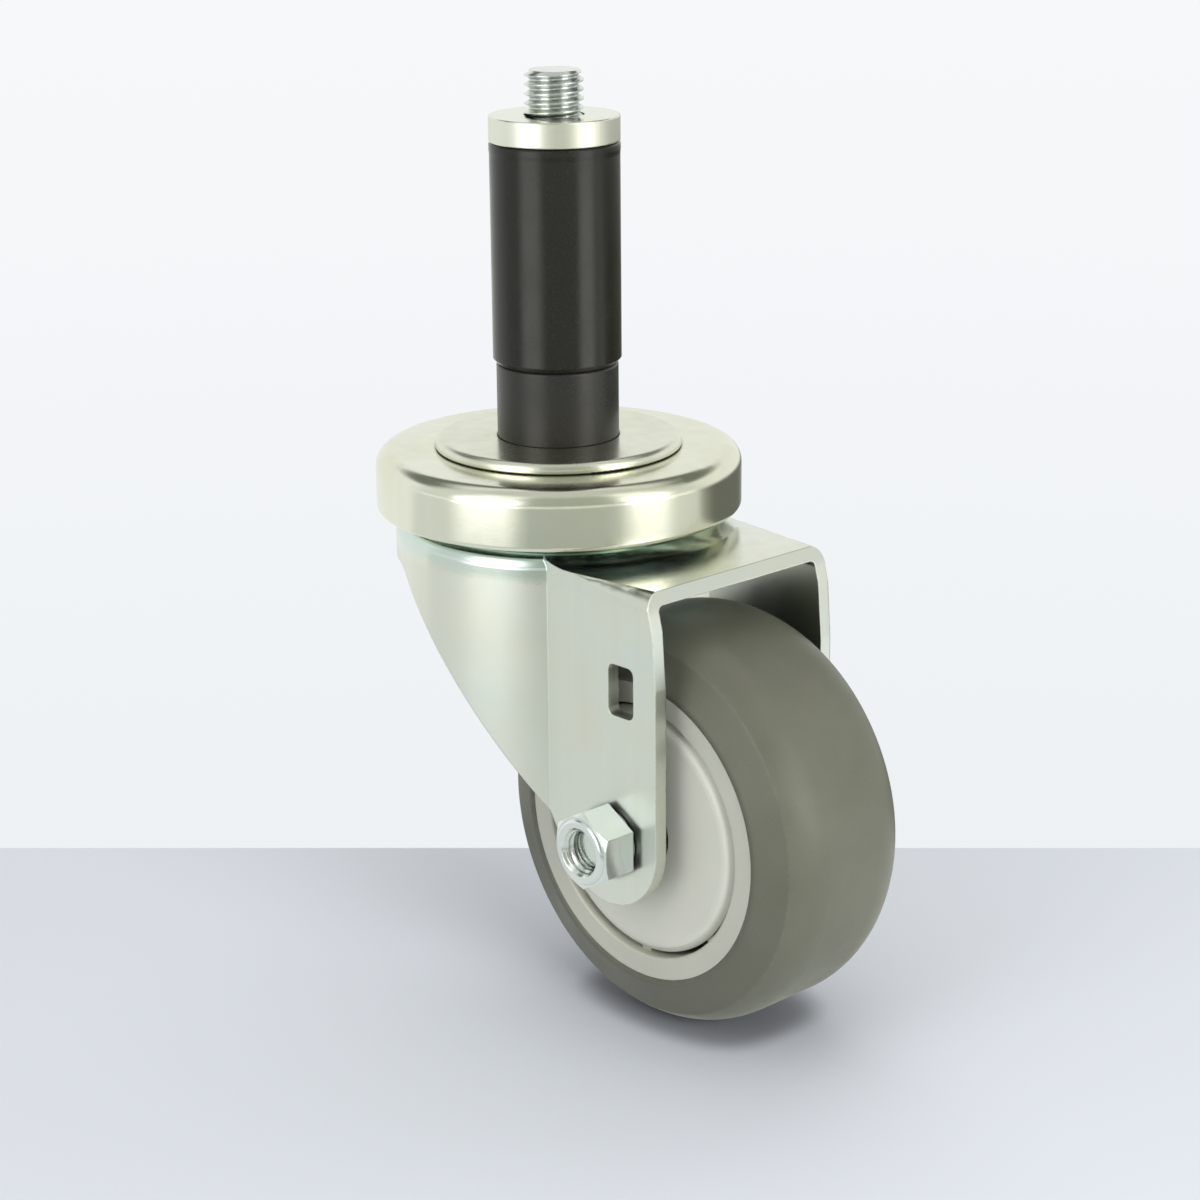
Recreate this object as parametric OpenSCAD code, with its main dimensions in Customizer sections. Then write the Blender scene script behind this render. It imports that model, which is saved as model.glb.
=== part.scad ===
// Stem castor: a pressed fork on a double ball race, under a rubber stem that expands in a round tube.
// The origin is on the swivel axis in the top face of the flange. +Z is up and the wheel trails towards +X.

/* [Stem] */
// Diameter of the threaded stud
stud_d = 12.7; // [10:0.1:14]
// Stud above the expander nut
stud_end = 9.4; // [4:0.1:16]
// Diameter of the round expander nut
nut_d = 28; // [26:0.1:28.2]
// Thickness of the expander nut
nut_t = 5.5; // [4:0.1:9]
// Diameter of the rubber sleeve
sleeve_d = 27.9; // [24:0.1:30]
// Length of the rubber sleeve
sleeve_l = 47.7; // [30:0.1:70]
// How far the sleeve's top lip stands proud
sleeve_lip = 0.1; // [0.05:0.01:0.12]
// Diameter of the lower spacer
spacer_d = 26.5; // [22:0.1:28]
// Length of the lower spacer
spacer_l = 16.1; // [8:0.1:30]
// Diameter of the flange washer
flange_d = 53.8; // [44:0.1:60]
// Thickness of the flange washer
flange_t = 2.4; // [1.6:0.1:4]
// Depth of the seat in the flange that the lower spacer stands in
seat_depth = 0.3; // [0.1:0.1:0.8]

/* [Cap] */
// Outer diameter of the cap
cap_d = 80; // [78:0.1:90]
// Height of the cap from its top to its lip
cap_h = 13.1; // [12:0.1:15]
// Sheet thickness of the cap
cap_t = 2.8; // [2:0.1:3.2]
// Outer radius of the cap's shoulder
cap_edge = 3.6; // [2:0.1:5]

/* [Swivel race] */
// Diameter of the upper balls
upper_ball_d = 7.9; // [6:0.1:9]
// Radius of the upper ball circle
upper_race_r = 28; // [27:0.1:28.5]
// Diameter of the lower balls
lower_ball_d = 6.3; // [5:0.1:7]
// Radius of the lower ball circle
lower_race_r = 15; // [14.6:0.1:15.4]
// Sheet thickness of the lower race
race_t = 2.5; // [2:0.1:3]
// Outer radius of the king sleeve
king_r = 8.3; // [7.8:0.1:8.8]

/* [Fork] */
// Sheet thickness of the fork
sheet_t = 3; // [2.5:0.1:3.5]
// Outer radius of the crown and its skirt
crown_r = 36; // [35:0.1:37]
// Outer radius of the crown's shoulder
crown_edge = 4; // [3.6:0.1:5]
// Gap between the cap's lip and the crown
lip_gap = 1; // [0.6:0.1:2]
// Step down from the crown to the top plate
plate_step = 2.7; // [2:0.1:3.5]
// Radius of the flare between the crown and the top plate
flare_r = 10; // [6:0.5:12]
// Width of the fork over its legs
fork_w = 52.4; // [51:0.1:56]
// Outer radius of the bend along each leg, at the front edge
bend_r = 4.2; // [3.5:0.1:5]
// Where that bend starts, from the swivel axis
bend_start = 29; // [28:0.5:32]
// Inner radius of the bend
bend_in = 1.4; // [1:0.1:2]
// Front edge of the top plate from the swivel axis
plate_front = 54; // [50:0.5:56]
// How far the front edge leans back from the plate down to the leg's upright edge
front_drop = 20; // [12:0.5:28]
// Lowest edge of the rear skirt below the flange
skirt_drop = 26; // [24:0.5:28]
// Where the leg's rear edge leaves the skirt, behind the swivel axis
skirt_back = 14.5; // [8:0.5:20]
// Radius of the leg's long rear curve
rear_r = 260; // [180:10:500]
// Radius of the corner between the skirt and the rear curve
rear_fillet = 7; // [3:0.5:10]
// Radius of the leg's round end
leg_r = 14.6; // [13:0.1:17]
// How far the round end sits behind the axle
leg_back = 1.7; // [0:0.1:3]
// Width of the slot in the near leg
slot_w = 7.4; // [5:0.1:9]
// Height of the slot in the near leg
slot_h = 11.2; // [8:0.1:14]
// Slot centre from the swivel axis
slot_x = 46.8; // [44:0.1:48]
// Slot centre above the axle
slot_up = 33.5; // [30:0.5:36]

/* [Wheel] */
// Axle from the swivel axis
trail = 44.1; // [42:0.1:46]
// Axle below the flange
axle_drop = 75.2; // [74:0.1:80]
// Diameter of the wheel
wheel_d = 88.9; // [80:0.1:89.5]
// Width of the tyre
tyre_w = 38; // [36:0.1:40]
// Width of the tread between the round shoulders
tread_w = 14.8; // [12:0.1:16]
// Radius of the tyre's shoulders
tyre_edge = 13.4; // [12:0.1:14.5]
// Depth below the tread of the ring where the flat side meets the round shoulder
tyre_ring = 3.2; // [2:0.1:5]
// How far the tyre's side stands out past the rim
tyre_lip = 0.3; // [0.1:0.1:1]
// Radius of the rim
rim_r = 32.8; // [31:0.1:34]
// Thickness of the rim wall
rim_t = 4.8; // [3.5:0.1:5.5]
// Thickness of the core's web
core_web = 4.4; // [3:0.1:6]
// Wall of the hub round each bearing
core_wall = 4.5; // [3:0.1:6]
// Thickness of the core's ribs
core_rib = 2.6; // [2:0.1:4]
// Number of ribs in the core
core_ribs = 8; // [5:1:10]
// Open groove between the side covers and the rim
cover_gap = 0.9; // [0.4:0.1:1.5]
// Thickness of the side covers
cover_t = 2.1; // [1.2:0.1:2.3]
// Width of the bevel round the side covers
cover_bevel = 2.9; // [1:0.1:4]

/* [Axle and bearings] */
// Diameter of the axle bolt
axle_d = 9.5; // [8:0.1:9.8]
// Width across the flats of the axle nut and the bolt's head
axle_af = 15; // [13:0.1:17]
// Height of the axle nut
axle_nut_h = 9.8; // [7:0.1:12]
// Height of the round foot that the axle nut stands on
nut_foot = 1.2; // [0.5:0.1:2]
// How far the axle bolt's end lies inside the nut
axle_recess = 3.3; // [0.5:0.1:4]
// Height of the axle bolt's head
axle_head_h = 6.4; // [5:0.1:8]
// Outer radius of the axle sleeve
axle_sleeve_r = 6; // [5.6:0.1:6.4]
// Outer radius of the bearings
bearing_r = 14; // [13.6:0.1:14.5]
// Width of the bearings
bearing_w = 8; // [6:0.1:8.4]
// Outer face of each bearing inside the tyre's side
bearing_in = 3; // [2.9:0.1:4.2]
// Diameter of the bearing balls
bearing_ball_d = 4.7; // [4:0.1:4.8]

/* [Fits] */
// Clearance round a shaft in a fixed bore
shaft_gap = 0.1; // [0.05:0.01:0.2]
// Clearance between parts that turn past each other
run_gap = 0.35; // [0.3:0.01:0.45]
// Clearance between a ball and the race that carries it
ball_gap = 0.05; // [0.02:0.01:0.1]

/* [Hidden] */
$fn = 96;
ball_fn = 32;
deep = 130; // past the lowest point of the part
cross = 0.1; // how far arcs that look tangent run into each other, so that they meet cleanly
stud_r = stud_d / 2;
sleeve_z = spacer_l;
nut_z = sleeve_z + sleeve_l;
stud_top = nut_z + nut_t + stud_end;

cap_z = -flange_t;
cap_under = cap_z - cap_t;
lip_z = cap_z - cap_h;

// Crown, raised to carry the upper balls close under the cap
crown_z = lip_z - lip_gap;
plate_z = crown_z - plate_step;
upper_ball_z = cap_under - run_gap - upper_ball_d / 2;
upper_groove_r = upper_ball_d / 2 + 0.3;
upper_groove_z = upper_ball_z + ball_gap_drop(upper_groove_r, upper_ball_d);
race_lip_z = upper_groove_z - upper_groove_r * 0.62;
race_wall_r = upper_race_r + upper_groove_r + 1.1;
well_r = upper_race_r - upper_groove_r - 3.7;
upper_count = floor(360 / (2 * asin((upper_ball_d + 0.15) / 2 / upper_race_r)));

// Lower balls, in a bead pressed into the floor of the crown's well
lower_groove_r = lower_ball_d / 2 + 0.25;
lower_groove_z = crown_z - sheet_t - 1.5;
lower_ball_z = lower_groove_z + lower_groove_r - ball_gap - lower_ball_d / 2;
race_groove_r = lower_ball_d / 2 + 0.35;
race_groove_z = lower_ball_z - lower_ball_d / 2 - run_gap + race_groove_r;
race_z = race_groove_z - 1.9;
race_r = lower_race_r + 6;
lower_count = floor(360 / (2 * asin((lower_ball_d + 0.15) / 2 / lower_race_r)));
king_bore = stud_r + shaft_gap;
king_head_z = race_z - race_t;
king_head_h = stud_d * 0.62;
king_head_af = stud_d * 1.5;

// Fork
flare_c = [crown_r - crown_edge + sqrt(pow(crown_edge + flare_r, 2) - pow(crown_edge - plate_step + flare_r, 2)),
           plate_z + flare_r];
leg_c = [trail - leg_back, -axle_drop];
rear_top = [-skirt_back, -skirt_drop];
rear_c = circle_past(rear_top, leg_c, rear_r, leg_r - cross);
rear_end = leg_c + unit(rear_c - leg_c) * (leg_r - 1);
fillet_c = [rear_c[0] + sqrt(pow(rear_r - rear_fillet, 2) - pow(-skirt_drop - rear_fillet - rear_c[1], 2)),
            -skirt_drop - rear_fillet];
leg_in = fork_w / 2 - sheet_t;
slot_z = -axle_drop + slot_up;

// Wheel
wheel_r = wheel_d / 2;
tyre_side = tyre_w / 2;
rim_face = tyre_side - tyre_lip;
cover_r = rim_r - rim_t - cover_gap;
cover_face = rim_face - 0.2;
cover_back = cover_face - cover_t;
ring_r = wheel_r - tyre_ring;
ring_y = tread_w / 2 + sqrt(pow(tyre_edge, 2) - pow(tyre_edge - tyre_ring, 2));
lock_r = rim_r + 3;
bearing_out = tyre_side - bearing_in;
bearing_back = bearing_out - bearing_w;
bearing_ball_y = bearing_out - bearing_w / 2;
inner_bore = axle_sleeve_r + shaft_gap;
bearing_pitch_r = (inner_bore + bearing_r) / 2;
inner_race_r = bearing_pitch_r - bearing_ball_d * 0.28;
outer_race_r = bearing_pitch_r + bearing_ball_d * 0.28 + run_gap;
spacer_r = inner_race_r - 0.4;
hub_bore = outer_race_r - 1;
bearing_count = 9;

// Centre of a groove of radius g above the centre of the ball that it carries
function ball_gap_drop(g, d) = g - d / 2 - ball_gap;

function unit(v) = v / norm(v);

// Centre of a circle of radius r that runs through p and touches the circle (c, rc) from outside
function circle_past(p, c, r, rc) =
    let (d = norm(c - p), u = (c - p) / d)
    let (a = (r * r - pow(r + rc, 2) + d * d) / (2 * d), h = sqrt(r * r - a * a))
    p + u * a + [u[1], -u[0]] * h;

// Section of a ring from radius ri to ro between z0 and z1, with its outer edges rounded
module ring_section(ri, ro, z0, z1, low, high) {
    translate([ri, z0]) square([ro - max(low, high) - ri, z1 - z0]);
    translate([ri, z0 + low]) square([ro - ri, z1 - z0 - low - high]);
    translate([ro - low, z0 + low]) circle(low);
    intersection() {
        translate([ro - high, z1 - high]) circle(high);
        translate([ri, z0 + low]) square([ro - ri, z1 - z0 - low]);
    }
}

module ring(ri, ro, z0, z1, edge = 0.4) {
    rotate_extrude() ring_section(ri, ro, z0, z1, edge, edge);
}

// Hexagon from z0 to z1, with one or both ends turned to a cone
module hexagon(af, z0, z1, lower = true, upper = true) {
    ac = af / cos(30);
    drop = (ac - af) / 2 * 0.6;
    intersection() {
        translate([0, 0, z0]) cylinder(d = ac, h = z1 - z0, $fn = 6);
        rotate_extrude()
            polygon([[0, z0], [af / 2, z0], [ac / 2, z0 + (lower ? drop : 0)],
                     [ac / 2, z1 - (upper ? drop : 0)], [af / 2, z1], [0, z1]]);
    }
}

// Half plane under a step at radius r and height z, with its corner rounded
module step(r, z, edge) {
    translate([0, -deep]) square([r - edge, deep + z]);
    translate([0, -deep]) square([r, deep + z - edge]);
    translate([r - edge, z - edge]) circle(edge);
}

// Turns what is built along Z to run along the axle, towards -Y
module on_axle() {
    translate([trail, 0, -axle_drop]) rotate([90, 0, 0]) children();
}

module balls(count, pitch, d, z) {
    for (i = [0 : count - 1])
        rotate([0, 0, 360 / count * i]) translate([pitch, 0, z]) sphere(d = d, $fn = ball_fn);
}

// Stem, from the stud down to the lower race

module king_bolt() {
    color("#b9bfb2") {
        rotate_extrude()
            polygon([[0, king_head_z - 1], [stud_r, king_head_z - 1], [stud_r, stud_top - 1.1],
                     [stud_r - 1.1, stud_top], [0, stud_top]]);
        hexagon(king_head_af, king_head_z - king_head_h, king_head_z, true, false);
    }
}

module expander_nut() {
    color("#c3c8bb") ring(king_bore, nut_d / 2, nut_z, nut_z + nut_t, 0.3);
}

module rubber_sleeve() {
    r = sleeve_d / 2;
    top = sleeve_z + sleeve_l;
    color("#33322f")
        rotate_extrude()
            polygon([[king_bore, sleeve_z], [r - 1, sleeve_z], [r, sleeve_z + 1.2], [r, top - 2.6],
                     [r + sleeve_lip, top - 1.6], [r + sleeve_lip, top - 0.5], [r + sleeve_lip - 0.5, top],
                     [king_bore, top]]);
}

module lower_spacer() {
    color("#2b2b29") ring(king_bore, spacer_d / 2, -seat_depth, spacer_l, 0.5);
}

// Washer with a soft upper edge and a shallow seat for the lower spacer
module flange_washer() {
    color("#c3c8bb")
        rotate_extrude()
            difference() {
                ring_section(king_bore, flange_d / 2, -flange_t, 0, flange_t * 0.2, flange_t * 0.65);
                translate([0, -seat_depth]) square([spacer_d / 2 + shaft_gap, 2 * seat_depth]);
            }
}

module top_cap() {
    r = cap_d / 2;
    lip = 1;
    color("#c3c8bb")
        rotate_extrude()
            difference() {
                union() {
                    intersection() {
                        step(r, cap_z, cap_edge);
                        translate([0, lip_z + lip]) square([r, cap_h]);
                    }
                    translate([0, lip_z]) square([r - lip, 2 * lip]);
                    translate([r - lip, lip_z + lip]) circle(lip);
                }
                step(r - cap_t, cap_under, max(cap_edge - cap_t, 0.6));
                translate([-1, lip_z - 1]) square([king_bore + 1, cap_h + 2]);
            }
}

module king_sleeve() {
    color("#a9afa3") ring(king_bore, king_r, race_z, cap_under, 0.3);
}

// Pressed washer with a groove for the lower balls
module lower_race() {
    color("#b3b9ac")
        rotate_extrude()
            difference() {
                union() {
                    translate([king_bore, race_z - race_t]) square([race_r - king_bore, race_t]);
                    intersection() {
                        translate([lower_race_r, race_groove_z]) circle(race_groove_r + race_t);
                        translate([king_bore, -deep]) square([race_r - king_bore, deep + race_z]);
                    }
                }
                translate([lower_race_r, race_groove_z]) circle(race_groove_r);
            }
}

// Fork: one drawn sheet, made as the region under its outer skin less the same region moved in by the sheet

// Section of the crown: shoulder, raised ball track, sunken well and the bead over the lower balls
module crown_section(d) {
    difference() {
        union() {
            step(crown_r - d, crown_z - d, crown_edge - d);
            step(race_wall_r - d, race_lip_z - d, max(1.5 - d, 0.4));
        }
        translate([upper_race_r, upper_groove_z]) circle(upper_groove_r + d);
        translate([-1, crown_z - d]) square([well_r + d + 1, deep]);
    }
    translate([lower_race_r, lower_groove_z]) circle(lower_groove_r + sheet_t - d);
}

// The front channel, open towards +X and downwards, with its upper corners rounded or sharp
module channel(d, edge) {
    w = fork_w / 2 - d;
    z = plate_z - d;
    rotate([90, 0, 90])
        linear_extrude(2 * plate_front) {
            translate([-w, -deep]) square([2 * w, deep + z - edge]);
            if (edge > 0) {
                translate([-w + edge, -deep]) square([2 * (w - edge), deep + z]);
                translate([-w + edge, z - edge]) circle(edge);
                translate([w - edge, z - edge]) circle(edge);
            }
        }
}

// What the outer bend takes off the near corner: outside a cone that grows from nothing to the front edge
module bend_cut() {
    grow = bend_r / (plate_front - bend_start);
    long = 2 * plate_front;
    half = asin(grow / sqrt(1 + 2 * grow * grow));
    translate([bend_start, -fork_w / 2 - cross, plate_z + cross])
        difference() {
            rotate([0, acos(1 / sqrt(2 + grow * grow)), atan2(-1, grow)])
                translate([-long, -long, 0]) cube([2 * long, 2 * long, bend_r * 2]);
            rotate([0, 90 + atan(grow / sqrt(1 + grow * grow)), atan(grow)])
                cylinder(r1 = 0, r2 = long * tan(half), h = long);
        }
}

// The concave flare that leads from the crown's shoulder down to the top plate, out to y on each side
module flare(d, y) {
    c1 = [crown_r - crown_edge, crown_z - crown_edge];
    intersection() {
        rotate_extrude()
            difference() {
                polygon([[c1[0] - 2, c1[1] - 2], c1, flare_c, [flare_c[0], plate_z - d - 2]]);
                translate(flare_c) circle(flare_r + d + cross / 4);
            }
        translate([0, -y, -deep]) cube([2 * plate_front, 2 * y, deep]);
    }
}

module outer_skin() {
    rotate_extrude() crown_section(0);
    difference() {
        union() {
            channel(0, 0);
            flare(0, fork_w / 2);
        }
        bend_cut();
        mirror([0, 1, 0]) bend_cut();
    }
}

module inner_skin() {
    rotate_extrude() crown_section(sheet_t);
    channel(sheet_t, bend_in);
    flare(sheet_t, leg_in - bend_in - 0.3);
}

// Side view of the fork: skirt behind, long rear curve, round leg end and upright front edge
module side_outline() {
    front = leg_c[0] + leg_r;
    difference() {
        polygon([[-cap_d, 0], [plate_front, 0], [plate_front, plate_z],
                 [front * 0.7 + plate_front * 0.3, plate_z - front_drop * 0.4],
                 [front, plate_z - front_drop], [front, -deep], [-cap_d, -deep]]);
        rear_void();
        end_void();
    }
}

// The room below the leg's round end
module end_void() {
    difference() {
        polygon([leg_c, rear_end, [-2 * cap_d, rear_end[1]], [-2 * cap_d, -2 * deep],
                 [2 * cap_d, -2 * deep], [2 * cap_d, leg_c[1]]]);
        translate(leg_c) circle(leg_r + cross / 4);
    }
}

// The room behind the leg: inside the long rear curve and below the skirt, with its corner rounded
module rear_void() {
    difference() {
        intersection() {
            translate(rear_c) circle(rear_r, $fn = 720);
            translate([-4 * cap_d, -4 * cap_d - skirt_drop]) square([8 * cap_d, 4 * cap_d]);
        }
        difference() {
            polygon([fillet_c, fillet_c + [0, 2 * rear_fillet], fillet_c + [4, 1.2] * rear_fillet,
                     fillet_c + unit(fillet_c - rear_c) * 2 * rear_fillet]);
            translate(fillet_c) circle(rear_fillet + cross / 2);
        }
    }
}

module slot_outline() {
    r = 1.6;
    w = slot_w / 2;
    h = slot_h / 2;
    translate([slot_x, slot_z]) {
        translate([-w, -h + r]) square([slot_w, slot_h - 2 * r]);
        translate([-w + r, -h]) square([slot_w - 2 * r, slot_h]);
        for (x = [-w + r, w - r], z = [-h + r, h - r])
            translate([x, z]) circle(r);
    }
}

// Extrudes a side view right through the fork, or through its near half alone
module through(near = false) {
    rotate([90, 0, 0]) translate([0, 0, near ? 0 : -cap_d]) linear_extrude((near ? 1 : 2) * cap_d) children();
}

module fork() {
    color("#b4bcae")
        difference() {
            intersection() {
                difference() {
                    outer_skin();
                    inner_skin();
                }
                through() side_outline();
            }
            translate([0, 0, -deep]) cylinder(r = king_r + run_gap, h = deep);
            on_axle() cylinder(d = axle_d + 2 * shaft_gap, h = 2 * fork_w, center = true);
            through(near = true) slot_outline();
        }
}

module upper_balls() {
    color("#8f9396") balls(upper_count, upper_race_r, upper_ball_d, upper_ball_z);
}

module lower_balls() {
    color("#8f9396") balls(lower_count, lower_race_r, lower_ball_d, lower_ball_z);
}

// Axle, fixed between the legs

module axle_bolt() {
    end = fork_w / 2 + axle_nut_h - axle_recess;
    color("#c6cac4")
        on_axle() {
            rotate_extrude()
                polygon([[0, -fork_w / 2 - 1], [axle_d / 2, -fork_w / 2 - 1], [axle_d / 2, end - 1],
                         [axle_d / 2 - 1, end], [0, end]]);
            rotate([0, 0, 30]) hexagon(axle_af, -fork_w / 2 - axle_head_h, -fork_w / 2, true, false);
        }
}

// Lock nut on a round foot, with a soft raised ring round its mouth
module axle_nut() {
    z = fork_w / 2;
    top = z + axle_nut_h;
    lip = 0.7;
    bore = axle_d / 2 + shaft_gap;
    color("#ccd2d0")
        on_axle()
            difference() {
                union() {
                    rotate([0, 0, 30]) hexagon(axle_af, z + nut_foot, top - lip, false, true);
                    rotate_extrude() ring_section(bore - 1, axle_af * 0.47, z, top, axle_af * 0.03, lip + 0.2);
                }
                cylinder(r = bore, h = 2 * fork_w);
                translate([0, 0, top - lip]) cylinder(r1 = bore - 0.1, r2 = bore + 0.6, h = lip + 0.1);
            }
}

module axle_sleeve() {
    color("#a9afa3") on_axle() ring(axle_d / 2 + shaft_gap, axle_sleeve_r, -leg_in, leg_in, 0.2);
}

module side_spacer() {
    color("#9fa59a") ring(inner_bore, spacer_r, bearing_out, leg_in, 0.3);
}

module near_spacer() {
    on_axle() side_spacer();
}

module far_spacer() {
    on_axle() mirror([0, 0, 1]) side_spacer();
}

module centre_spacer() {
    color("#9fa59a") on_axle() ring(inner_bore, spacer_r, -bearing_back, bearing_back, 0.3);
}

module inner_race() {
    color("#a3a8ab")
        rotate_extrude()
            difference() {
                translate([inner_bore, bearing_back]) square([inner_race_r - inner_bore, bearing_w]);
                translate([bearing_pitch_r, bearing_ball_y]) circle(bearing_ball_d / 2 + ball_gap);
            }
}

module near_inner_race() {
    on_axle() inner_race();
}

module far_inner_race() {
    on_axle() mirror([0, 0, 1]) inner_race();
}

module bearing_balls() {
    color("#8f9396") balls(bearing_count, bearing_pitch_r, bearing_ball_d, bearing_ball_y);
}

module near_bearing_balls() {
    on_axle() bearing_balls();
}

module far_bearing_balls() {
    on_axle() mirror([0, 0, 1]) bearing_balls();
}

// Wheel

module outer_race() {
    color("#a3a8ab")
        rotate_extrude()
            difference() {
                translate([outer_race_r, bearing_back]) square([bearing_r - outer_race_r, bearing_w]);
                translate([bearing_pitch_r, bearing_ball_y]) circle(bearing_ball_d / 2 + run_gap);
            }
}

module near_outer_race() {
    on_axle() outer_race();
}

module far_outer_race() {
    on_axle() mirror([0, 0, 1]) outer_race();
}

// One half of the tyre's section, from the middle of the tread to the side
module tyre_half() {
    difference() {
        intersection() {
            union() {
                square([wheel_r, tread_w / 2]);
                square([wheel_r - tyre_edge, tyre_side]);
                translate([wheel_r - tyre_edge, tread_w / 2]) circle(tyre_edge);
            }
            polygon([[rim_r, 0], [wheel_r, 0], [wheel_r, ring_y], [ring_r, ring_y],
                     [rim_r + 1.5, tyre_side - 0.1], [rim_r + 0.8, tyre_side], [rim_r, rim_face]]);
        }
        square([lock_r, rim_face / 3]);
    }
}

module tyre() {
    color("#6b6a61")
        on_axle()
            rotate_extrude() {
                tyre_half();
                mirror([0, 1]) tyre_half();
            }
}

// One half of the core's section: rim, the rib that locks the tyre, web, hub and bearing seat
module core_half() {
    edge = 0.5;
    translate([rim_r - rim_t, 0]) square([rim_t, rim_face - edge]);
    translate([rim_r - rim_t + edge, 0]) square([rim_t - edge, rim_face]);
    translate([rim_r - rim_t + edge, rim_face - edge]) circle(edge);
    translate([rim_r - 1, 0]) square([lock_r - rim_r + 1, rim_face / 3]);
    translate([hub_bore, 0]) square([rim_r - hub_bore, core_web / 2]);
    translate([hub_bore, 0]) square([bearing_r + core_wall - hub_bore, bearing_back]);
    translate([bearing_r, 0]) square([core_wall, cover_back]);
}

module wheel_core() {
    color("#c8c7bd")
        on_axle() {
            rotate_extrude() {
                core_half();
                mirror([0, 1]) core_half();
            }
            for (i = [0 : core_ribs - 1])
                rotate([0, 0, 360 / core_ribs * i])
                    translate([bearing_r + core_wall / 2, -core_rib / 2, -cover_back])
                        cube([rim_r - rim_t / 2 - bearing_r - core_wall / 2, core_rib, 2 * cover_back]);
        }
}

// Moulded disc, its flat face raised on a bevel that turns soft at the top
module side_cover() {
    bore = spacer_r + run_gap;
    color("#bdbcb2")
        rotate_extrude()
            polygon([[bore, cover_back], [cover_r, cover_back], [cover_r, cover_back + cover_t * 0.25],
                     [cover_r - cover_bevel * 0.45, cover_face - cover_t * 0.17],
                     [cover_r - cover_bevel * 0.7, cover_face - cover_t * 0.04],
                     [cover_r - cover_bevel, cover_face], [bore, cover_face]]);
}

module near_cover() {
    on_axle() side_cover();
}

module far_cover() {
    on_axle() mirror([0, 0, 1]) side_cover();
}

king_bolt();
expander_nut();
rubber_sleeve();
lower_spacer();
flange_washer();
top_cap();
king_sleeve();
lower_race();
fork();
upper_balls();
lower_balls();
axle_bolt();
axle_nut();
axle_sleeve();
near_spacer();
far_spacer();
centre_spacer();
near_inner_race();
far_inner_race();
near_bearing_balls();
far_bearing_balls();
tyre();
wheel_core();
near_cover();
far_cover();
near_outer_race();
far_outer_race();
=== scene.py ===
"""Stem castor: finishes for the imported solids, threaded bolts, floor, studio and camera.

Lengths are metres in the frame of the CAD model, unless a name or comment says mm. Z is the swivel axis, the
wheel's axle lies along Y, and the origin is the middle of the flange's top face."""
import math

import bpy
from mathutils import Matrix, Vector


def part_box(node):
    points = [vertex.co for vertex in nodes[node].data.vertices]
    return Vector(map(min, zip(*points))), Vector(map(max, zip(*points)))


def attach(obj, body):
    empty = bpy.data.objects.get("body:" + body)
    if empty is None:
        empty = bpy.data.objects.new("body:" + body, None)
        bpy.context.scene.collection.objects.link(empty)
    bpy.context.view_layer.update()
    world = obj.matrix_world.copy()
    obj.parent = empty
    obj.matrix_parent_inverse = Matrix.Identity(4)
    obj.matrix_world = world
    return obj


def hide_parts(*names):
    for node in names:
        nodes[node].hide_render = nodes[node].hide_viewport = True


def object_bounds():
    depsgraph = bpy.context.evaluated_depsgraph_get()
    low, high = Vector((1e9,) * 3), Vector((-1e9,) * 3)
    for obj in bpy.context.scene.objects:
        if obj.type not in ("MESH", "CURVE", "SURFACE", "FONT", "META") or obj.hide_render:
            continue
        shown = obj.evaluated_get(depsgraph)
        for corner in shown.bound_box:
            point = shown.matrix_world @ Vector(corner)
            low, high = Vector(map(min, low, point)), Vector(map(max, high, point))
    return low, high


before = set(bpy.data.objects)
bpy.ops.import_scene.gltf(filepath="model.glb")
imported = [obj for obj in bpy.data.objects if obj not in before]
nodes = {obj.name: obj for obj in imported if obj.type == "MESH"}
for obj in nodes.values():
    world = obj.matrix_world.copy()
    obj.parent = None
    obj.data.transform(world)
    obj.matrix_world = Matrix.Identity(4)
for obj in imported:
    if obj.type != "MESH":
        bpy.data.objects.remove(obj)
cad_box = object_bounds()
scene = bpy.context.scene
MM = 0.001
INCH = 25.4  # in mm


# ---------- colour and node helpers ----------

def linear(r, g, b):
    """An sRGB colour, 0 to 255, as scene-linear RGBA."""
    out = []
    for v in (r, g, b):
        v /= 255
        out.append(v / 12.92 if v <= 0.04045 else ((v + 0.055) / 1.055) ** 2.4)
    return (*out, 1)


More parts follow.
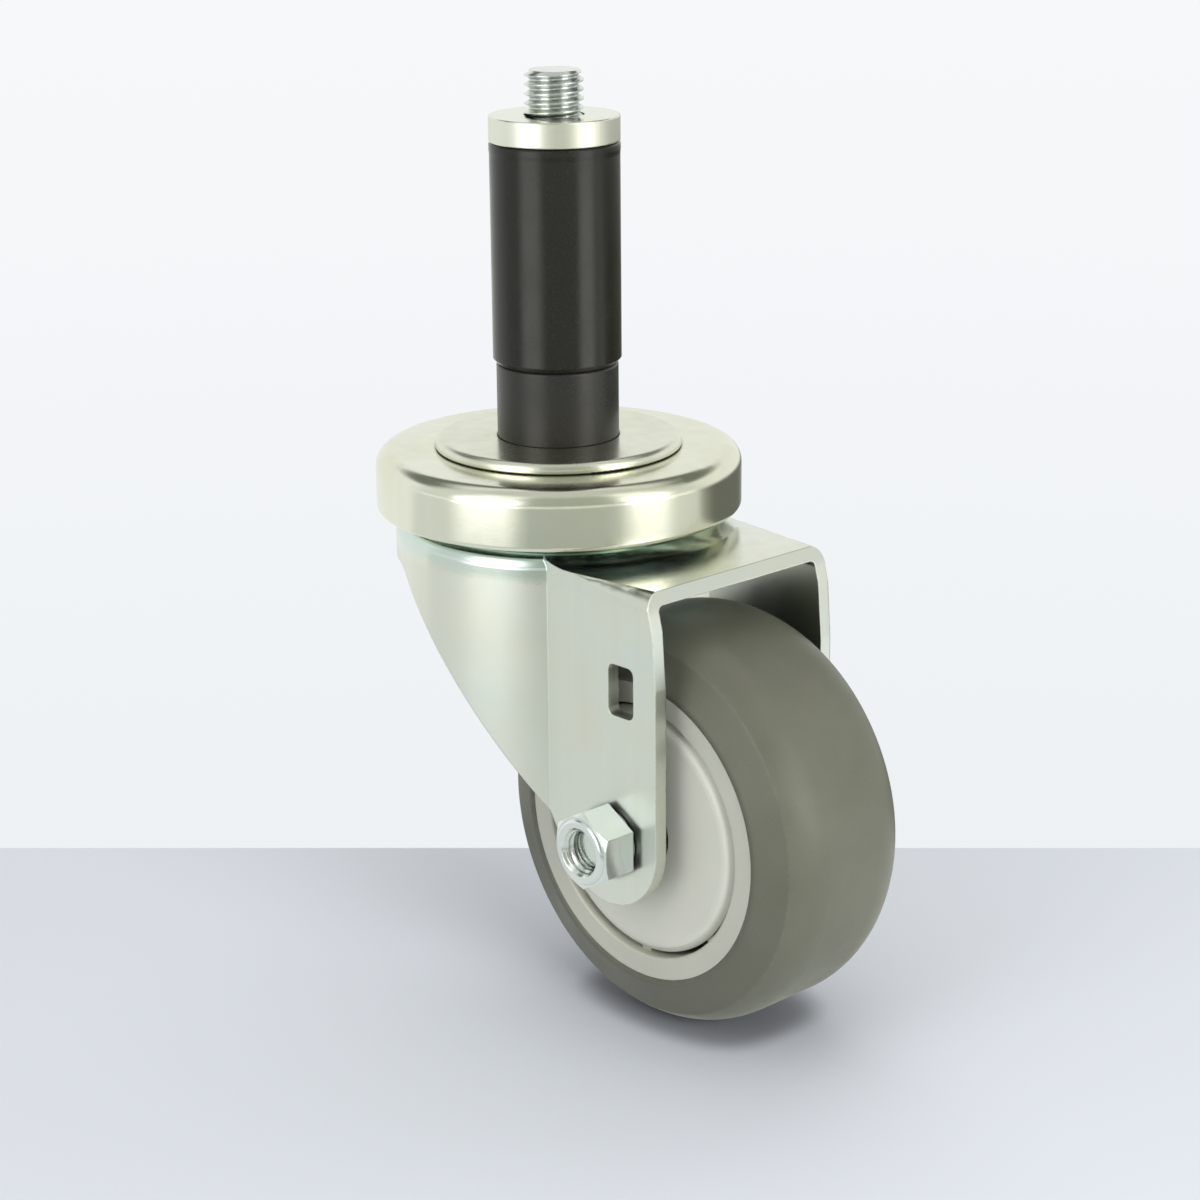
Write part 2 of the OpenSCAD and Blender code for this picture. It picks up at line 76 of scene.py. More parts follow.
class Tree:
    """Shorthand for one material's or world's node tree."""

    def __init__(self, owner):
        owner.use_nodes = True
        self.t = owner.node_tree
        self.t.nodes.clear()

    def add(self, kind, inputs=None, **props):
        n = self.t.nodes.new(kind)
        for k, v in props.items():
            setattr(n, k, v)
        for k, v in (inputs or {}).items():
            self.put(n.inputs[k], v)
        return n

    def put(self, socket, value):
        if isinstance(value, bpy.types.NodeSocket):
            self.t.links.new(value, socket)
        else:
            socket.default_value = value

    def place(self, sx=1.0, sy=1.0, sz=1.0):
        c = self.add("ShaderNodeTexCoord").outputs["Object"]
        if (sx, sy, sz) == (1, 1, 1):
            return c
        return self.add("ShaderNodeVectorMath", {0: c, 1: (sx, sy, sz)}, operation="MULTIPLY").outputs[0]

    def noise(self, vector, scale, detail=3.0, rough=0.55):
        return self.add("ShaderNodeTexNoise", {"Vector": vector, "Scale": scale, "Detail": detail,
                                               "Roughness": rough}).outputs["Fac"]

    def voronoi(self, vector, scale):
        return self.add("ShaderNodeTexVoronoi", {"Vector": vector, "Scale": scale}).outputs["Distance"]

    def math(self, op, a, b=0.0, clamp=False):
        return self.add("ShaderNodeMath", {0: a, 1: b}, operation=op, use_clamp=clamp).outputs[0]

    def remap(self, v, low, high, at_low, at_high, kind):
        ends = {"From Min": low, "From Max": high, "To Min": at_low, "To Max": at_high}
        return self.add("ShaderNodeMapRange", {"Value": v, **ends}, interpolation_type=kind).outputs["Result"]

    def span(self, v, low, high, at_low, at_high):
        """A straight ramp, level outside low and high."""
        return self.remap(v, low, high, at_low, at_high, "LINEAR")

    def step(self, v, low, high, at_low=0.0, at_high=1.0):
        """A smooth ramp, level outside low and high."""
        return self.remap(v, low, high, at_low, at_high, "SMOOTHSTEP")

    def scaled(self, v, factor):
        return self.math("MULTIPLY", v, factor)

    def mix(self, fac, a, b):
        n = self.add("ShaderNodeMix", data_type="RGBA")
        self.put(n.inputs[0], fac)
        self.put(n.inputs[6], a)
        self.put(n.inputs[7], b)
        return n.outputs[2]

    def edge(self, radius):
        """A rounded normal, and a mask that is 1 on edges and corners, where it leaves the true normal."""
        bevel = self.add("ShaderNodeBevel", {"Radius": radius}, samples=6).outputs[0]
        true = self.add("ShaderNodeNewGeometry").outputs["Normal"]
        dot = self.add("ShaderNodeVectorMath", {0: bevel, 1: true}, operation="DOT_PRODUCT").outputs["Value"]
        return bevel, self.span(dot, 0.995, 0.90, 0, 1)

    def bump(self, height, distance, normal):
        return self.add("ShaderNodeBump", {"Height": height, "Distance": distance, "Strength": 1.0,
                                           "Normal": normal}).outputs[0]

    def crevice(self, reach):
        """A mask that is 1 deep in gaps and corners."""
        open_sky = self.add("ShaderNodeAmbientOcclusion", {"Distance": reach}, samples=6).outputs["AO"]
        return self.span(open_sky, 0.3, 0.75, 1, 0)

    def pulse(self, v, middle, half, soft):
        """1 within half of the middle, falling smoothly to 0 over soft."""
        off = self.math("ABSOLUTE", self.math("SUBTRACT", v, middle))
        return self.step(off, half, half + soft, 1, 0)

    def surface(self, shader):
        self.add("ShaderNodeOutputMaterial", {"Surface": shader})


# ---------- materials ----------

# Zones of the fork, each with where it changes: the flared ring under the cap, by radius and height, with a
# painted teal reflection, the legs below the crown, with painted shade in their crevices, their rougher
# surface, and the channel between them, by half width and how far its painted shade reaches.
RING_RADIUS, RING_HEIGHT = (33.5 * MM, 37.5 * MM), (-23.5 * MM, -20.5 * MM)
LEGS_BELOW, ROUGHER_BELOW = (-21 * MM, -30 * MM), (-21.5 * MM, -24.5 * MM)
CHANNEL_HALF, CHANNEL_REACH = (24.8 * MM, 25.8 * MM), 14 * MM
# Painted light on the fork: a teal reflection tint for the ring under the cap, and the shade of the channel.
RING_REFLECTION_TINT, CHANNEL_SHADE = linear(190, 224, 220), linear(84, 90, 80)
# Tones of drawing streaks and polished edges, and the painted shade in crevices.
STREAK, POLISHED, CREVICE_SHADE = linear(150, 156, 150), linear(240, 241, 234), linear(34, 36, 32)
GREASE, RUBBED_STEEL = linear(96, 92, 82), linear(214, 216, 214)


def zinc(name, cool, warm, rough, streak=(260, 260, 14), edge_mm=0.35, lower=0.0, turned=0.0, crevice_mm=1.1):
    """Bright zinc plate: two tints, drawing streaks, grain, handling marks, polished edges and painted shade
    in crevices.

    lower brings in the fork's zones, with their painted teal reflection and painted shade and that much
    roughness below the crown, and turned adds roughness to upright faces."""
    m = bpy.data.materials.new(name)
    t = Tree(m)
    here = t.place()
    tint = t.span(t.noise(here, 38, 4), 0.36, 0.66, 0, 1)
    colour = t.mix(tint, linear(*cool), linear(*warm))
    drawn = t.noise(t.place(*streak), 1, 3, 0.6)
    colour = t.mix(t.span(drawn, 0.3, 0.7, 0.0, 0.05), colour, STREAK)
    grain = t.noise(here, 2600, 2)
    scuff = t.span(t.noise(here, 34, 4), 0.45, 0.7, 0, 1)
    normal, worn = t.edge(edge_mm * MM)
    spotted = t.scaled(worn, t.span(t.noise(here, 420, 3), 0.4, 0.6, 0.25, 1.0))
    colour = t.mix(t.scaled(spotted, 0.6), colour, POLISHED)
    # Painted shade in crevices, which also makes them rougher.
    crevice_shade = t.crevice(crevice_mm * MM)
    if lower:
        x, y, z = t.add("ShaderNodeSeparateXYZ", {0: here}).outputs
        out = t.math("SQRT", t.math("ADD", t.scaled(x, x), t.scaled(y, y)))
        # A painted teal reflection on the flared ring under the cap.
        ring = t.scaled(t.step(out, *RING_RADIUS, 0.85, 0), t.step(z, *RING_HEIGHT))
        colour = t.mix(ring, colour, RING_REFLECTION_TINT)
        legs = t.step(z, *LEGS_BELOW)
        # On the fork the painted crevice shade stays on the legs.
        crevice_shade = t.scaled(crevice_shade, legs)
        # Painted shade in the channel between the legs.
        within = t.step(t.math("ABSOLUTE", y), *CHANNEL_HALF, 1, 0)
        shade = t.scaled(t.scaled(t.crevice(CHANNEL_REACH), legs), within)
        colour = t.mix(t.scaled(shade, 0.62), colour, CHANNEL_SHADE)
    # The painted crevice shade darkens the colour here.
    colour = t.mix(t.scaled(crevice_shade, 0.85), colour, CREVICE_SHADE)
    r = t.math("ADD", t.span(drawn, 0.25, 0.75, rough - 0.03, rough + 0.04), t.scaled(scuff, 0.05))
    r = t.math("ADD", r, t.span(grain, 0.3, 0.7, -0.01, 0.01))
    r = t.math("SUBTRACT", r, t.scaled(spotted, 0.06), True)
    r = t.math("ADD", r, t.scaled(crevice_shade, 0.3), True)
    if lower:
        r = t.math("ADD", r, t.step(z, *ROUGHER_BELOW, 0, lower), True)
    if turned:
        facing = t.add("ShaderNodeNewGeometry").outputs["Normal"]
        rise = t.math("ABSOLUTE", t.add("ShaderNodeSeparateXYZ", {0: facing}).outputs["Z"])
        r = t.math("ADD", r, t.step(rise, 0.3, 0.8, turned, 0), True)
    height = t.math("ADD", t.scaled(grain, 0.35), t.scaled(t.noise(here, 120, 2), 1.6))
    shader = t.add("ShaderNodeBsdfPrincipled", {"Base Color": colour, "Metallic": 1.0, "Roughness": r,
                                                "Normal": t.bump(height, 10e-6, normal)})
    t.surface(shader.outputs[0])
    return m


def steel(name, tone, rough=0.26):
    """Ground bearing steel with a thin, patchy film of grease."""
    m = bpy.data.materials.new(name)
    t = Tree(m)
    here = t.place()
    film = t.span(t.noise(here, 150, 4), 0.5, 0.7, 0, 1)
    colour = t.mix(t.scaled(film, 0.5), linear(*tone), GREASE)
    normal, worn = t.edge(0.25 * MM)
    colour = t.mix(t.scaled(worn, 0.5), colour, RUBBED_STEEL)
    r = t.math("ADD", t.span(t.noise(t.place(1, 1, 9), 300, 3), 0.3, 0.7, rough - 0.06, rough + 0.08),
               t.scaled(film, 0.1))
    shader = t.add("ShaderNodeBsdfPrincipled", {"Base Color": colour, "Metallic": 1.0, "Roughness": r,
                                                "Normal": t.bump(t.noise(here, 1800, 2), 4e-6, normal)})
    t.surface(shader.outputs[0])
    return m


def polymer(name, base, second, paler_edge_tone, rough, grain_mm, grain_bump, edge_mm, paler_edge_share=0.5, dust=None,
            specular=0.5, flow=None):
    """Rubber or moulded plastic: moulding flow, skin grain, dust in the grain and paler edges, rubbed, and on
    the tyre also a painted highlight along its crease.
    """
    m = bpy.data.materials.new(name)
    t = Tree(m)
    here = t.place()
    patch = t.span(t.noise(here, 60, 4), 0.35, 0.68, 0, 1)
    colour = t.mix(patch, linear(*base), linear(*second))
    if flow:
        lines = t.noise(t.place(*flow), 1, 3, 0.6)
        colour = t.mix(t.span(lines, 0.35, 0.75, 0, 0.5), colour, linear(*second))
    grain = t.noise(here, 0.6 / (grain_mm * MM), 2, 0.6)
    pits = t.voronoi(here, 0.5 / (grain_mm * MM))
    if dust:
        colour = t.mix(t.scaled(t.span(grain, 0.52, 0.72, 0, 1), 0.35), colour, linear(*dust))
    normal, worn = t.edge(edge_mm * MM)
    spotted = t.scaled(worn, t.span(t.noise(here, 380, 3), 0.42, 0.62, 0.2, 1.0))
    colour = t.mix(t.scaled(spotted, paler_edge_share), colour, linear(*paler_edge_tone))
    r = t.math("ADD", t.span(grain, 0.3, 0.7, rough - 0.05, rough + 0.05),
               t.span(t.noise(here, 90, 3), 0.35, 0.65, -0.04, 0.05))
    r = t.math("ADD", r, t.scaled(spotted, 0.08), True)
    height = t.math("ADD", grain, t.scaled(pits, -0.5))
    shader = t.add("ShaderNodeBsdfPrincipled", {"Base Color": colour, "Metallic": 0.0, "Roughness": r,
                                                "Specular IOR Level": specular,
                                                "Normal": t.bump(height, grain_bump, normal)})
    t.surface(shader.outputs[0])
    return m


zinc_fork = zinc("zinc_fork", (230, 236, 229), (233, 234, 220), 0.17, lower=0.14, crevice_mm=2.0)
zinc_cap = zinc("zinc_cap", (236, 237, 222), (232, 231, 208), 0.15)
zinc_flange = zinc("zinc_flange", (232, 233, 220), (230, 229, 206), 0.22)
zinc_turned = zinc("zinc_turned", (236, 238, 226), (233, 232, 214), 0.08, streak=(900, 900, 30), turned=0.26)
EVEN = (200, 200, 200)  # a streak without direction
zinc_nut = zinc("zinc_nut", (234, 241, 242), (235, 240, 235), 0.13, streak=EVEN, edge_mm=0.3, crevice_mm=2.0)
zinc_bolt = zinc("zinc_bolt", (228, 234, 233), (224, 228, 220), 0.13, streak=EVEN, edge_mm=0.3)
race_steel = steel("race_steel", (172, 174, 172))
ball_steel = steel("ball_steel", (186, 188, 188), 0.14)
# The tyre's paler edges are partly rubbed rubber and partly a painted highlight along the crease between side
# and tread.
tyre_rubber = polymer("tyre_rubber", (95, 96, 83), (89, 90, 77), (132, 132, 118), 0.42, grain_mm=0.3,
                      grain_bump=6e-6, edge_mm=1.1, paler_edge_share=0.6, dust=(104, 104, 92), specular=0.45)
rim_plastic = polymer("rim_plastic", (193, 193, 179), (188, 188, 174), (222, 221, 213), 0.38, grain_mm=0.2,
                      grain_bump=5e-6, edge_mm=0.3)
cover_plastic = polymer("cover_plastic", (211, 211, 198), (206, 206, 193), (226, 227, 215), 0.4, grain_mm=0.2,
                        grain_bump=6e-6, edge_mm=0.35, flow=(8, 8, 60))
sleeve_rubber = polymer("sleeve_rubber", (24, 23, 16), (20, 19, 13), (66, 62, 52), 0.18, grain_mm=0.25,
                        grain_bump=2.5e-6, edge_mm=0.4, dust=(46, 44, 38), specular=0.36, flow=(180, 180, 9))
collar_plastic = polymer("collar_plastic", (27, 26, 22), (31, 29, 24), (84, 80, 70), 0.32, grain_mm=0.2,
                         grain_bump=2.5e-6, edge_mm=0.3, paler_edge_share=0.45, dust=(58, 56, 50))

finish_of = {
    "king_bolt": zinc_bolt, "expander_nut": zinc_turned, "rubber_sleeve": sleeve_rubber,
    "lower_spacer": collar_plastic, "flange_washer": zinc_flange, "top_cap": zinc_cap,
    "king_sleeve": race_steel, "lower_race": zinc_fork, "fork": zinc_fork,
    "upper_balls": ball_steel, "lower_balls": ball_steel,
    "axle_bolt": zinc_bolt, "axle_nut": zinc_nut, "axle_sleeve": race_steel,
    "near_spacer": race_steel, "far_spacer": race_steel, "centre_spacer": race_steel,
    "near_inner_race": race_steel, "near_bearing_balls": ball_steel, "near_outer_race": race_steel,
    "far_inner_race": race_steel, "far_bearing_balls": ball_steel, "far_outer_race": race_steel,
    "tyre": tyre_rubber, "wheel_core": rim_plastic, "near_cover": cover_plastic, "far_cover": cover_plastic,
}
for name, finish in finish_of.items():
    slots = nodes[name].data.materials
    slots.clear()
    slots.append(finish)


# ---------- threaded bolts ----------

def mesh_piece(name, verts, faces, finish, flat_over=35):
    """A piece from points in mm, smooth except over edges sharper than flat_over degrees."""
    mesh = bpy.data.meshes.new(name)
    mesh.from_pydata([tuple(c * MM for c in v) for v in verts], [], faces)
    mesh.validate()
    mesh.materials.append(finish)
    obj = bpy.data.objects.new(name, mesh)
    scene.collection.objects.link(obj)
    mesh.shade_smooth()
    mesh.set_sharp_from_angle(angle=math.radians(flat_over))
    return obj


def thread_radius(turns, r, depth):
    """Radius of a 60 degree thread at a phase in turns: flat crest and root, straight flanks."""
    p = turns % 1.0
    crest, root = 0.14, 0.22
    flank = (1 - crest - root) / 2
    if p < crest:
        return r
    if p < crest + flank:
        return r - depth * (p - crest) / flank
    if p < crest + flank + root:
        return r - depth
    return r - depth * (1 - (p - crest - flank - root) / flank)


def bolt(name, r, pitch, z_thread, z_top, chamfer, across_flats, head_z, head_h, twist, finish):
    """A bolt along Z in mm: hex head below head_z, plain shank, thread from z_thread to z_top.

    The head's outer corners are turned to a cone, from a round end face a little inside the flats."""
    around, per_pitch = 120, 14
    depth, chamfer_slope = 0.6 * pitch, 0.9
    run_in = z_thread - pitch / 2
    n = int((z_top - run_in) / pitch * per_pitch)
    levels = [head_z, run_in] + [run_in + (z_top - run_in) * (k + 1) / n for k in range(n)]
    verts, faces = [], []
    for z in levels:
        fade = min(1.0, max(0.0, (z - z_thread) / pitch + 0.5))
        cone = r - max(0.0, z - (z_top - chamfer)) * chamfer_slope
        for i in range(around):
            a = 2 * math.pi * i / around
            rr = r - (r - thread_radius(z / pitch - i / around, r, depth)) * fade
            rr = min(rr, cone)
            verts.append((rr * math.cos(a), rr * math.sin(a), z))
    for j in range(len(levels) - 1):
        for i in range(around):
            k = (i + 1) % around
            faces.append((j * around + i, j * around + k, (j + 1) * around + k, (j + 1) * around + i))
    top = len(verts)
    rim = (len(levels) - 1) * around
    verts.append((0, 0, z_top))
    faces += [(rim + i, rim + (i + 1) % around, top) for i in range(around)]

    flats = across_flats / 2
    corners = flats / math.cos(math.radians(30))
    end_face, drop = flats * 0.96, (corners - flats) * 0.6
    inside = r * 0.9
    end = head_z - head_h
    steps = 16
    # Four rings: round the end face, along the cone's edge, round the underside and inside the shank.
    rings = []
    for level in range(4):
        rings.append(range(len(verts), len(verts) + 6 * steps))
        for i in range(6 * steps):
            a = math.radians(60 * i / steps + twist)
            hexed = flats / math.cos(math.radians(60 * (i % steps) / steps - 30))
            rad, z = ((end_face, end), (hexed, end + drop * (hexed - end_face) / (corners - end_face)),
                      (hexed, head_z), (inside, head_z))[level]
            verts.append((rad * math.cos(a), rad * math.sin(a), z))
    for low, high in zip(rings, rings[1:]):
        for i in range(len(low)):
            k = (i + 1) % len(low)
            faces.append((low[i], low[k], high[k], high[i]))
    middle = len(verts)
    verts.append((0, 0, end))
    faces += [(rings[0][(i + 1) % len(rings[0])], rings[0][i], middle) for i in range(len(rings[0]))]
    return mesh_piece(name, verts, faces, finish, flat_over=20)


def bore_thread(name, r, pitch, z_low, z_top, finish):
    """The thread inside a nut's bore of radius r, in mm along Z, on a thin shell within the nut's metal."""
    around, per_pitch = 96, 12
    depth, shell = 0.42 * pitch, 0.2
    n = int((z_top - z_low) / pitch * per_pitch)
    verts, faces = [], []
    for j in range(n + 1):
        z = z_low + (z_top - z_low) * j / n
        ease = min(1.0, (z_top - z) / (0.4 * pitch))
        for i in range(around):
            a = 2 * math.pi * i / around
            rr = r - (r - thread_radius(z / pitch - i / around, r, depth)) * ease
            verts.append((rr * math.cos(a), rr * math.sin(a), z))
    outer = len(verts)
    for z in (z_low, z_top):
        for i in range(around):
            a = 2 * math.pi * i / around
            verts.append(((r + shell) * math.cos(a), (r + shell) * math.sin(a), z))
    top = n * around
    for i in range(around):
        k = (i + 1) % around
        faces += [(j * around + i, (j + 1) * around + i, (j + 1) * around + k, j * around + k)
                  for j in range(n)]
        faces += [(outer + i, outer + k, outer + around + k, outer + around + i),
                  (outer + i, i, k, outer + k), (top + i, outer + around + i, outer + around + k, top + k)]
    return mesh_piece(name, verts, faces, finish)


# Thread sizes in mm: a 1/2-13 stud, and a 3/8-16 axle bolt in a nut bored to clear it.
STUD_R, STUD_PITCH = INCH / 4, INCH / 13
STUD_FLATS, STUD_HEAD = STUD_R * 3, STUD_R * 2 * 0.62
AXLE_R, AXLE_PITCH = 9.5 / 2, INCH / 16
NUT_BORE_R = AXLE_R + 0.1
AXLE_FLATS, AXLE_HEAD = 15, 6.4
# A bolt's thread starts this far inside its nut. The axle nut's own thread starts back from the bolt's end
# and stops inside the nut's mouth.
STUD_THREAD_IN, AXLE_THREAD_IN = 4, 1
NUT_THREAD_BACK, NUT_THREAD_IN = 0.8, 0.6

lo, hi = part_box("king_bolt")
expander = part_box("expander_nut")
king = bolt("king_bolt_threaded", STUD_R, STUD_PITCH, z_thread=expander[1].z / MM - STUD_THREAD_IN,
            z_top=hi.z / MM, chamfer=1.0, across_flats=STUD_FLATS, head_z=lo.z / MM + STUD_HEAD,
            head_h=STUD_HEAD, twist=0, finish=zinc_bolt)
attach(king, "stem")
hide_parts("king_bolt")

# The axle bolt and the nut's thread are made along Z, then turned so that it lies along -Y at the axle.
lo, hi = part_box("axle_bolt")
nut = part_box("axle_nut")
axle_x, axle_z = (lo.x + hi.x) / 2, (lo.z + hi.z) / 2
along_axle = Matrix.Translation((axle_x, 0, axle_z)) @ Matrix.Rotation(math.radians(90), 4, "X")
axle = bolt("axle_bolt_threaded", AXLE_R, AXLE_PITCH, z_thread=-nut[1].y / MM + AXLE_THREAD_IN,
            z_top=-lo.y / MM, chamfer=0.9, across_flats=AXLE_FLATS, head_z=-hi.y / MM + AXLE_HEAD,
            head_h=AXLE_HEAD, twist=30, finish=zinc_bolt)
axle.data.transform(along_axle)
thread = bore_thread("axle_nut_thread", NUT_BORE_R, AXLE_PITCH, -lo.y / MM - NUT_THREAD_BACK,
                     -nut[0].y / MM - NUT_THREAD_IN, zinc_bolt)
thread.data.transform(along_axle)
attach(thread, "fork")
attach(axle, "fork")
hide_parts("axle_bolt")


# ---------- camera, floor, world, lights ----------

PICTURE = 1200  # the photograph's width and height in pixels
HORIZON = 848  # the row in it where the floor meets the wall
YAW, PITCH, ROLL = (math.radians(v) for v in (46.968, 17.543, -0.525))
EYE = Vector((439.148, -398.021, 149.057)) * MM
FOCAL = 2793.09  # in the photograph's pixels
SENSOR = 36
back = Vector((math.sin(YAW) * math.cos(PITCH), -math.cos(YAW) * math.cos(PITCH), math.sin(PITCH)))
right = Vector((math.cos(YAW), math.sin(YAW), 0))
up = back.cross(right)
side = right * math.cos(ROLL) + up * math.sin(ROLL)
head = -right * math.sin(ROLL) + up * math.cos(ROLL)

camera = bpy.data.objects.new("camera", bpy.data.cameras.new("camera"))
scene.collection.objects.link(camera)
camera.data.sensor_width = SENSOR
camera.data.lens = FOCAL / PICTURE * SENSOR
camera.data.clip_start, camera.data.clip_end = 0.01, 100
rotation = Matrix((side, head, back)).transposed().to_4x4()
camera.matrix_world = Matrix.Translation(EYE) @ rotation
scene.camera = camera

# The studio stands still round the castor. Each of its parts has a middle, half width and soft edge, in
# degrees round from the side that the photograph was taken from, positive to the right.
front_side = (math.sin(YAW), -math.cos(YAW), 0)
right_side = (math.cos(YAW), math.sin(YAW), 0)
LEFT_STRIP, RIGHT_STRIP, GAP = (-44, 8, 20), (56, 6, 15), (0, 20, 60)
CARD, CORNER = (88, 12, 22), (134, 20, 38)
REAR_FROM = (108, 135)  # where the rear starts and where it is full
WHITE, CEILING, GAP_TONE = linear(220, 224, 221), linear(206, 209, 204), linear(174, 180, 172)
REAR_TONE, CORNER_TONE = linear(150, 154, 148), linear(108, 110, 104)
CARD_SHINE, STRIP_SHINE = (1.1, 1.11, 1.08, 1), (2.8, 2.8, 2.72, 1)


def turn_of(t, way):
    """Degrees round the castor from the front side to a direction."""
    ahead, aside = (t.add("ShaderNodeVectorMath", {0: way, 1: s}, operation="DOT_PRODUCT").outputs["Value"]
                    for s in (front_side, right_side))
    return t.scaled(t.math("ARCTAN2", aside, ahead), 180 / math.pi)


def studio_ring(t, way, strips, gap, card, rear):
    """What shines in the metal round the castor: two soft strips beside the camera, a dim gap between them,
    a bright card on the right and a dimmer rear. The last four arguments say how strong each is."""
    turn = turn_of(t, way)
    tone = t.mix(t.scaled(t.pulse(turn, *GAP), gap), WHITE, GAP_TONE)
    tone = t.mix(t.scaled(t.pulse(turn, *CARD), card), tone, CARD_SHINE)
    tone = t.mix(t.scaled(t.step(t.math("ABSOLUTE", turn), *REAR_FROM), rear), tone, REAR_TONE)
    both = t.math("ADD", t.pulse(turn, *LEFT_STRIP), t.pulse(turn, *RIGHT_STRIP), True)
    return t.mix(t.scaled(both, strips), tone, STRIP_SHINE)


# The floor ends in a straight edge behind the castor, where the photograph's floor meets its wall.
FLOOR_REACH = 6
floor_z = cad_box[0].z


def on_floor(u, v):
    """The floor point behind a point of the photograph, in its pixels."""
    way = side * (u - PICTURE / 2) - head * (v - PICTURE / 2) - back * FOCAL
    return EYE + way * ((floor_z - EYE.z) / way.z)


edge_at = on_floor(PICTURE / 2, HORIZON)
across = (on_floor(PICTURE, HORIZON) - on_floor(0, HORIZON)).normalized() * FLOOR_REACH
near = Vector((across.y, -across.x, 0))
floor_mesh = bpy.data.meshes.new("floor")
floor_mesh.from_pydata([edge_at - across, edge_at + across, edge_at + across + near, edge_at - across + near],
                       [], [(3, 2, 1, 0)])
floor = bpy.data.objects.new("floor", floor_mesh)
scene.collection.objects.link(floor)
floor_paint = bpy.data.materials.new("floor_paint")
t = Tree(floor_paint)
here = t.place()
tone = t.mix(t.span(t.noise(here, 3, 2), 0.3, 0.7, 0, 1), linear(222, 226, 232), linear(224, 227, 233))
# The photograph's soft shadow and contact shadow, painted into the floor's tone, which follow whatever stands
# over the floor. Each has its reach, the openness where it starts and where it is full, its strength and its
# tone.
SOFT_SHADOW = (0.16, 0.9, 0.42, 0.5, linear(176, 180, 189))
CONTACT_SHADOW = (0.009, 0.9, 0.4, 0.6, linear(50, 53, 60))
for reach, start, full, strength, shade in (SOFT_SHADOW, CONTACT_SHADOW):
    sky = t.add("ShaderNodeAmbientOcclusion", {"Distance": reach}, samples=12).outputs["AO"]
    tone = t.mix(t.step(sky, start, full, 0, strength), tone, shade)
paint = t.add("ShaderNodeBsdfPrincipled", {"Base Color": tone, "Roughness": 0.6}).outputs[0]
# In reflections the floor glows with painted studio parts, each over the distances where the piece that needs
# it
# looks: the legs to 0.34 m, the cap to 0.4, the collar and sleeve from 0.45 and the stem's top beyond 1.05.
GAP_NEAR, GAP_FAR = (0.2, 0.34), (0.46, 0.56)
CARD_NEAR, CARD_FAR = (0.3, 0.345), (0.56, 0.64)
STRIPS_NEAR, STRIPS_FAR = (0.37, 0.6), (2.0, 3.2)
PALE_FAR, FLOOR_SHINE = (1.05, 1.25), (1.0, 1.01, 0.96, 1)
far_off = t.add("ShaderNodeVectorMath", {0: here}, operation="LENGTH").outputs["Value"]
gap = t.scaled(t.step(far_off, *GAP_NEAR), t.step(far_off, *GAP_FAR, 1, 0.25))
card = t.math("MAXIMUM", t.step(far_off, *CARD_NEAR, 1, 0), t.step(far_off, *CARD_FAR, 0, 0.9))
strips = t.scaled(t.step(far_off, *STRIPS_NEAR, 0.02, 1.0), t.step(far_off, *STRIPS_FAR, 1, 0.12))
glow = studio_ring(t, here, strips, gap, card, 1.0)
pale = t.mix(t.step(far_off, *PALE_FAR), (0, 0, 0, 1), FLOOR_SHINE)
glow = t.add("ShaderNodeVectorMath", {0: glow, 1: pale}, operation="MAXIMUM").outputs[0]
glow = t.add("ShaderNodeEmission", {"Color": glow, "Strength": 1.0}).outputs[0]
path = t.add("ShaderNodeLightPath").outputs
shaded = t.add("ShaderNodeMixShader", {0: path["Is Glossy Ray"], 1: paint, 2: glow}).outputs[0]
# Beyond the lamps' reach the floor keeps its pale tone for the camera.
KEPT_FAR = (0.26, 0.5)
kept = t.add("ShaderNodeEmission", {"Color": linear(223, 227, 233), "Strength": 1.0}).outputs[0]
beyond = t.scaled(t.step(far_off, *KEPT_FAR), path["Is Camera Ray"])
t.surface(t.add("ShaderNodeMixShader", {0: beyond, 1: shaded, 2: kept}).outputs[0])
floor_mesh.materials.append(floor_paint)

# The camera sees a plain wall, mirrors see the studio and everything else gets an even fill. Heights are the
# upward share of a direction, from 0 at the horizon to 1 overhead.
world = bpy.data.worlds.new("studio")
scene.world = world
t = Tree(world)
direction = t.add("ShaderNodeTexCoord").outputs["Generated"]
height = t.add("ShaderNodeSeparateXYZ", {0: direction}).outputs["Z"]
wall = t.mix(t.span(height, -0.39, -0.1, 0, 1), linear(237, 241, 244), linear(247, 248, 250))
strips = t.scaled(t.step(height, 0.3, 0.68, 1.0, 0.3), t.step(height, 0.0, 0.1, 0.12, 1))
ring = studio_ring(t, direction, strips, 1.0, 0.0, 0.0)
ring = t.mix(t.step(height, 0.75, 0.95), ring, CEILING)
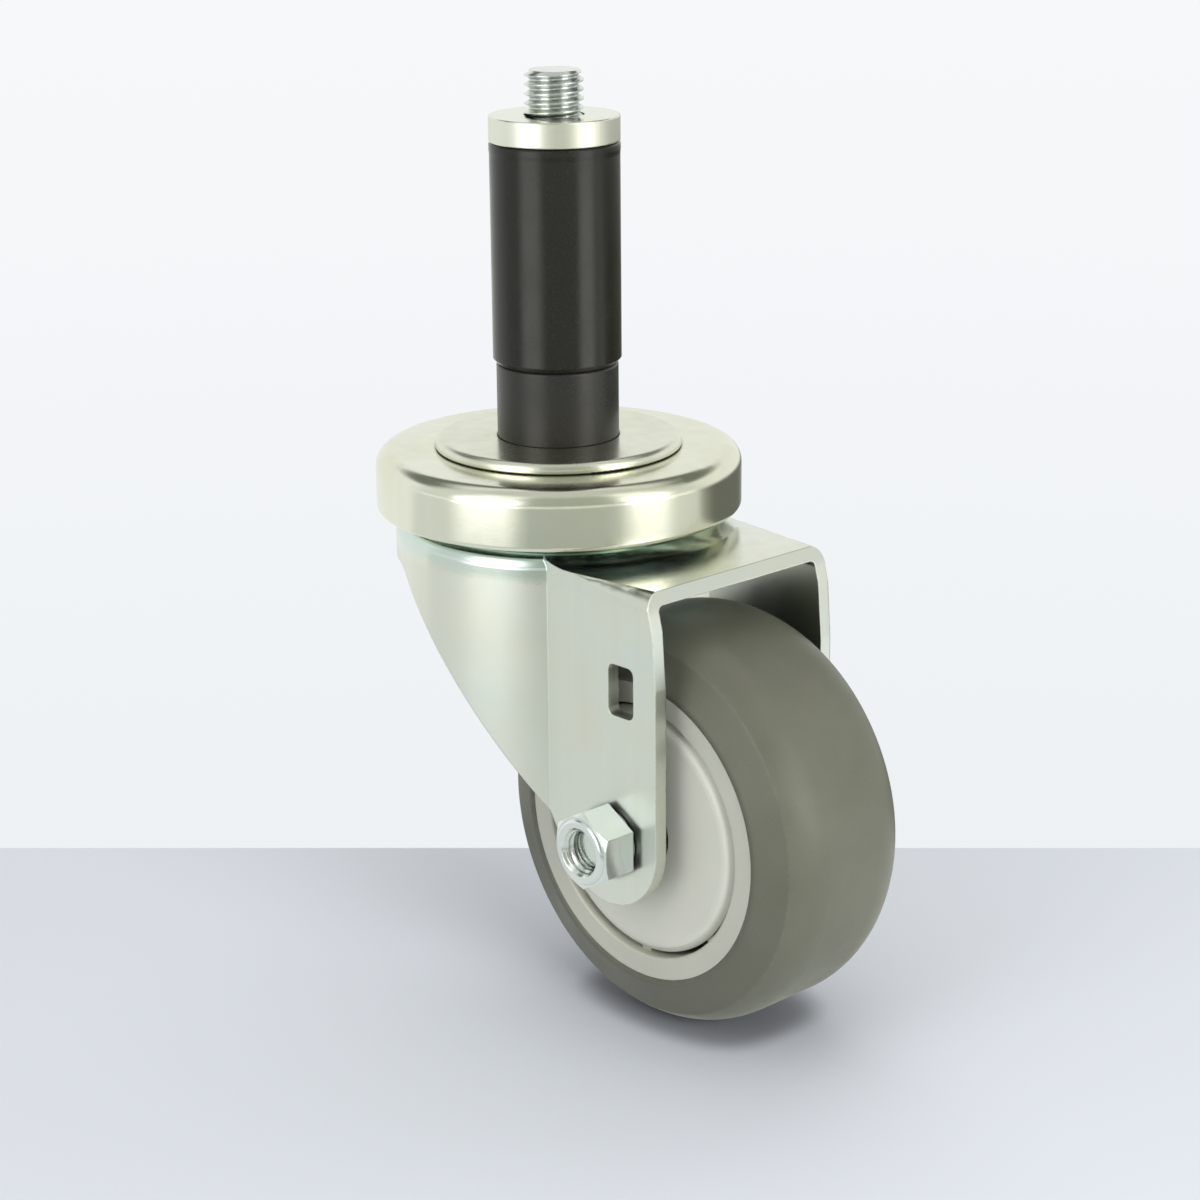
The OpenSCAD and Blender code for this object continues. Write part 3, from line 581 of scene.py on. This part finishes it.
# Behind the castor a dark band lies across a pale wall.
behind = t.mix(t.pulse(height, 0.66, 0.07, 0.16), linear(244, 246, 242), linear(112, 118, 110))
behind = t.mix(t.step(height, 0.86, 0.97), behind, CEILING)
ahead = t.add("ShaderNodeVectorMath", {0: direction, 1: front_side}, operation="DOT_PRODUCT").outputs["Value"]
room = t.mix(t.step(ahead, 0.05, -0.3), ring, behind)
corner = t.scaled(t.pulse(turn_of(t, direction), *CORNER), t.step(height, -0.05, -0.2))
room = t.mix(corner, room, CORNER_TONE)
path = t.add("ShaderNodeLightPath").outputs
seen = t.add("ShaderNodeBackground", {"Color": wall, "Strength": 1.0}).outputs[0]
shine = t.add("ShaderNodeBackground", {"Color": room, "Strength": 1.0}).outputs[0]
fill = t.add("ShaderNodeBackground", {"Color": linear(238, 240, 242), "Strength": 0.62}).outputs[0]
gloss = t.math("MAXIMUM", path["Is Glossy Ray"], path["Is Transmission Ray"])
mixed = t.add("ShaderNodeMixShader", {0: gloss, 1: fill, 2: shine}).outputs[0]
mixed = t.add("ShaderNodeMixShader", {0: path["Is Camera Ray"], 1: mixed, 2: seen}).outputs[0]
t.add("ShaderNodeOutputWorld", {"Surface": mixed})

AIM = Vector((0.02, 0, -0.03))  # about the castor's middle


def softbox(name, azimuth, elevation, distance, width, height, power):
    """A soft light in watts, its azimuth counted like the studio's degrees. Reflections leave it out, because
    the studio's parts stand for it there."""
    lamp = bpy.data.lights.new(name, "AREA")
    lamp.shape = "RECTANGLE"
    lamp.size, lamp.size_y, lamp.energy = width, height, power
    obj = bpy.data.objects.new(name, lamp)
    scene.collection.objects.link(obj)
    a = math.atan2(-math.cos(YAW), math.sin(YAW)) + math.radians(azimuth)
    e = math.radians(elevation)
    way = Vector((math.cos(a) * math.cos(e), math.sin(a) * math.cos(e), math.sin(e)))
    obj.location = AIM + way * distance
    obj.rotation_mode = "QUATERNION"
    obj.rotation_quaternion = way.to_track_quat("Z", "Y")
    obj.visible_glossy = False


softbox("softbox_left", azimuth=-44, elevation=30, distance=1.0, width=0.5, height=0.7, power=2.1)
softbox("softbox_right", azimuth=34, elevation=13, distance=1.0, width=0.5, height=0.5, power=9.0)
softbox("softbox_back", azimuth=170, elevation=52, distance=1.1, width=1.1, height=0.5, power=2.6)

scene.view_settings.view_transform = "Standard"
